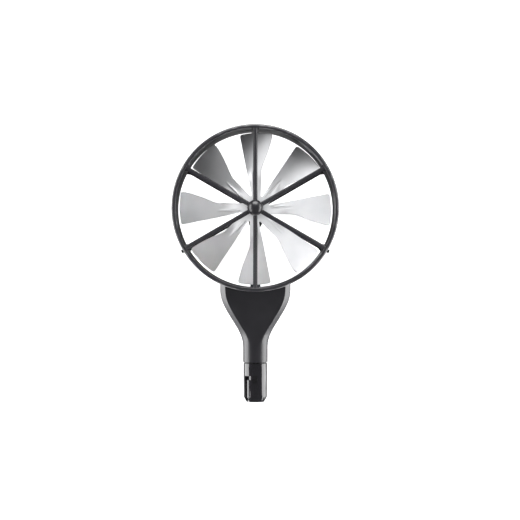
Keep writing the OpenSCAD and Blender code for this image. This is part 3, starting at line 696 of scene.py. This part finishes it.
makeNeckShells()
print("neck shells made")


studio = {
    "cameraPlace": (0.00296, -0.998, 0.0657), "lensMm": 108.5,
    "roomFront": 0.26, "roomBack": 0.03,
    # each light's place, aim, width and height in metres, radiance, and what it lights: the plastic,
    # the metal as a fill that nothing shades, or the metal with the duct in the way
    "lights": {
        "topSoftbox": ((0.0, -0.2, 1.1), (0, -0.2, 0.1), (0.9, 1.1), 8.0, "plastic"),
        "lowSoftbox": ((0.0, 0.7, -0.8), (0, 0.7, 0.1), (0.9, 1.0), 8.0, "plastic"),
        "leftSoftbox": ((-0.95, 0.1, 0.0), (0, 0.1, 0.0), (0.98, 1.6), 6.5, "plastic"),
        "rightSoftbox": ((0.95, 0.1, 0.0), (0, 0.1, 0.0), (0.98, 1.6), 6.5, "plastic"),
        "leftPanel": ((-0.95, 1.05, 0.0), (0, 1.05, 0.0), (0.9, 1.6), 1.0, "plastic"),
        "rightPanel": ((0.95, 1.05, 0.0), (0, 1.05, 0.0), (0.9, 1.6), 1.0, "plastic"),
        "metalTop": ((0.45, -0.55, 0.95), (0, 0, 0.1), (1.5, 1.1), 1.05, "metalFill"),
        "metalUpperLeft": ((-0.8, -0.55, 0.75), (0, 0, 0.1), (0.9, 0.9), 1.5, "metal"),
        "metalLeft": ((-0.9, -0.55, 0.1), (0, 0, 0.1), (0.8, 0.8), 1.1, "metal"),
        "metalRight": ((0.9, -0.55, 0.1), (0, 0, 0.1), (0.8, 0.9), 0.6, "metalFill"),
        "metalBelow": ((0.1, -0.55, -0.75), (0, 0, 0.1), (1.5, 0.9), 0.52, "metalFill"),
        "metalFront": ((0.0, -1.35, 0.1), (0, 0, 0.1), (1.2, 1.2), 1.1, "metal"),
        "metalBack": ((0.3, 1.2, 0.6), (0, 0, 0.1), (1.8, 1.6), 0.8, "metalFill"),
    },
}


# A softbox whose face has the given radiance, whatever its size; nothing blocks an unshaded one
def addSoftbox(name, place, aim, size, radiance, receivers, shaded):
    deselectAll()
    bpy.ops.object.light_add(type="AREA", location=place)
    light = bpy.context.object
    light.name = name
    light.rotation_euler = (Vector(aim) - Vector(place)).to_track_quat("-Z", "Y").to_euler()
    light.data.shape = "RECTANGLE"
    light.data.size, light.data.size_y = size
    light.data.energy = math.pi * size[0] * size[1] * radiance
    light.light_linking.receiver_collection = receivers
    light.data.use_shadow = shaded
    light.data.cycles.use_multiple_importance_sampling = shaded


def buildStudio():
    deselectAll()
    bpy.ops.object.camera_add(location=studio["cameraPlace"], rotation=(math.radians(90), 0, 0))
    camera = bpy.context.object
    camera.data.lens = studio["lensMm"]
    camera.data.sensor_width = 36
    camera.data.clip_end = 80
    bpy.context.scene.camera = camera
    bpy.context.scene.view_settings.view_transform = "Standard"

    # the polished sheet has soft lights of its own, so that the plastic stays dark
    metalParts = bpy.data.collections.new("metalParts")
    plasticParts = bpy.data.collections.new("plasticParts")
    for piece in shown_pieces():
        isMetal = piece.name in ("stampedVaneSheet", "discClampRing", "impeller_hub")
        (metalParts if isMetal else plasticParts).objects.link(piece)
    for name, (place, aim, size, radiance, target) in studio["lights"].items():
        receivers = plasticParts if target == "plastic" else metalParts
        addSoftbox(name, place, aim, size, radiance, receivers, shaded=target != "metalFill")

    world = bpy.data.worlds.new("paleRoom")
    bpy.context.scene.world = world
    world.use_nodes = True
    # the room is lighter in front of the object than behind it
    sky = world.node_tree
    way = addNode(sky, "ShaderNodeTexCoord")
    split = addNode(sky, "ShaderNodeSeparateXYZ", {"Vector": (way, "Generated")})
    level = addNode(sky, "ShaderNodeMapRange", {"Value": (split, "Y"), "From Min": -0.4, "From Max": 0.4,
                                                "To Min": studio["roomFront"], "To Max": studio["roomBack"]},
                    interpolation_type="SMOOTHSTEP")
    sky.links.new(level.outputs["Result"], sky.nodes["Background"].inputs["Strength"])
    sky.nodes["Background"].inputs["Color"].default_value = (1, 1, 1, 1)


# A pale sweep: floor, a wide curve, and the wall behind, in metres
sweepForm = {"width": 60, "front": -30, "back": 1.5, "gap": 0.002, "curveSteps": 8, "curveStep": 0.118,
             "wall": 3}


def buildSweep(lowest):
    form = sweepForm
    deselectAll()
    bpy.ops.mesh.primitive_plane_add(size=1, location=(0, 0, 0))
    sweep = bpy.context.object
    sweep.name = "paleSweep"
    sweep.scale = (form["width"], form["back"] - form["front"], 1)
    sweep.location = (0, (form["back"] + form["front"]) / 2, lowest - form["gap"])
    bakePlace(sweep)
    openEdit(sweep, "EDGE")
    pick(sweep, lambda co: co.y > form["back"] - 0.01, "edges")
    for step in range(form["curveSteps"]):
        turn = math.radians(90) * (step + 0.5) / form["curveSteps"]
        bpy.ops.mesh.extrude_edges_move(TRANSFORM_OT_translate={
            "value": (0, form["curveStep"] * math.cos(turn), form["curveStep"] * math.sin(turn))})
    bpy.ops.mesh.extrude_edges_move(TRANSFORM_OT_translate={"value": (0, 0, form["wall"])})
    closeEdit()
    smoothSurface(sweep, 40)
    material, tree = newMaterial("paper sweep matt")
    place = addNode(tree, "ShaderNodeTexCoord")
    fibre = addNode(tree, "ShaderNodeTexNoise", {"Vector": (place, "Object"), "Scale": 900.0, "Detail": 2.0})
    tone = addNode(tree, "ShaderNodeValToRGB", {"Fac": (fibre, "Fac")},
                   stops=[(0.2, "#f4f4f4"), (0.8, "#fafafa")])
    shader = addNode(tree, "ShaderNodeBsdfPrincipled", {
        "Base Color": (tone, "Color"), "Roughness": 0.9, "Specular IOR Level": 0.0,
        "Emission Color": (1, 1, 1, 1), "Emission Strength": 0.95})
    addNode(tree, "ShaderNodeOutputMaterial", {"Surface": (shader, "BSDF")})
    dress(sweep, material)
    # the sweep glows by itself: it doesn't show in the object's gloss or shade the light under it
    sweep.visible_glossy = False
    sweep.visible_shadow = False


buildStudio()
buildSweep(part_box("bayonet_sleeve")[0][2])
print("studio built")
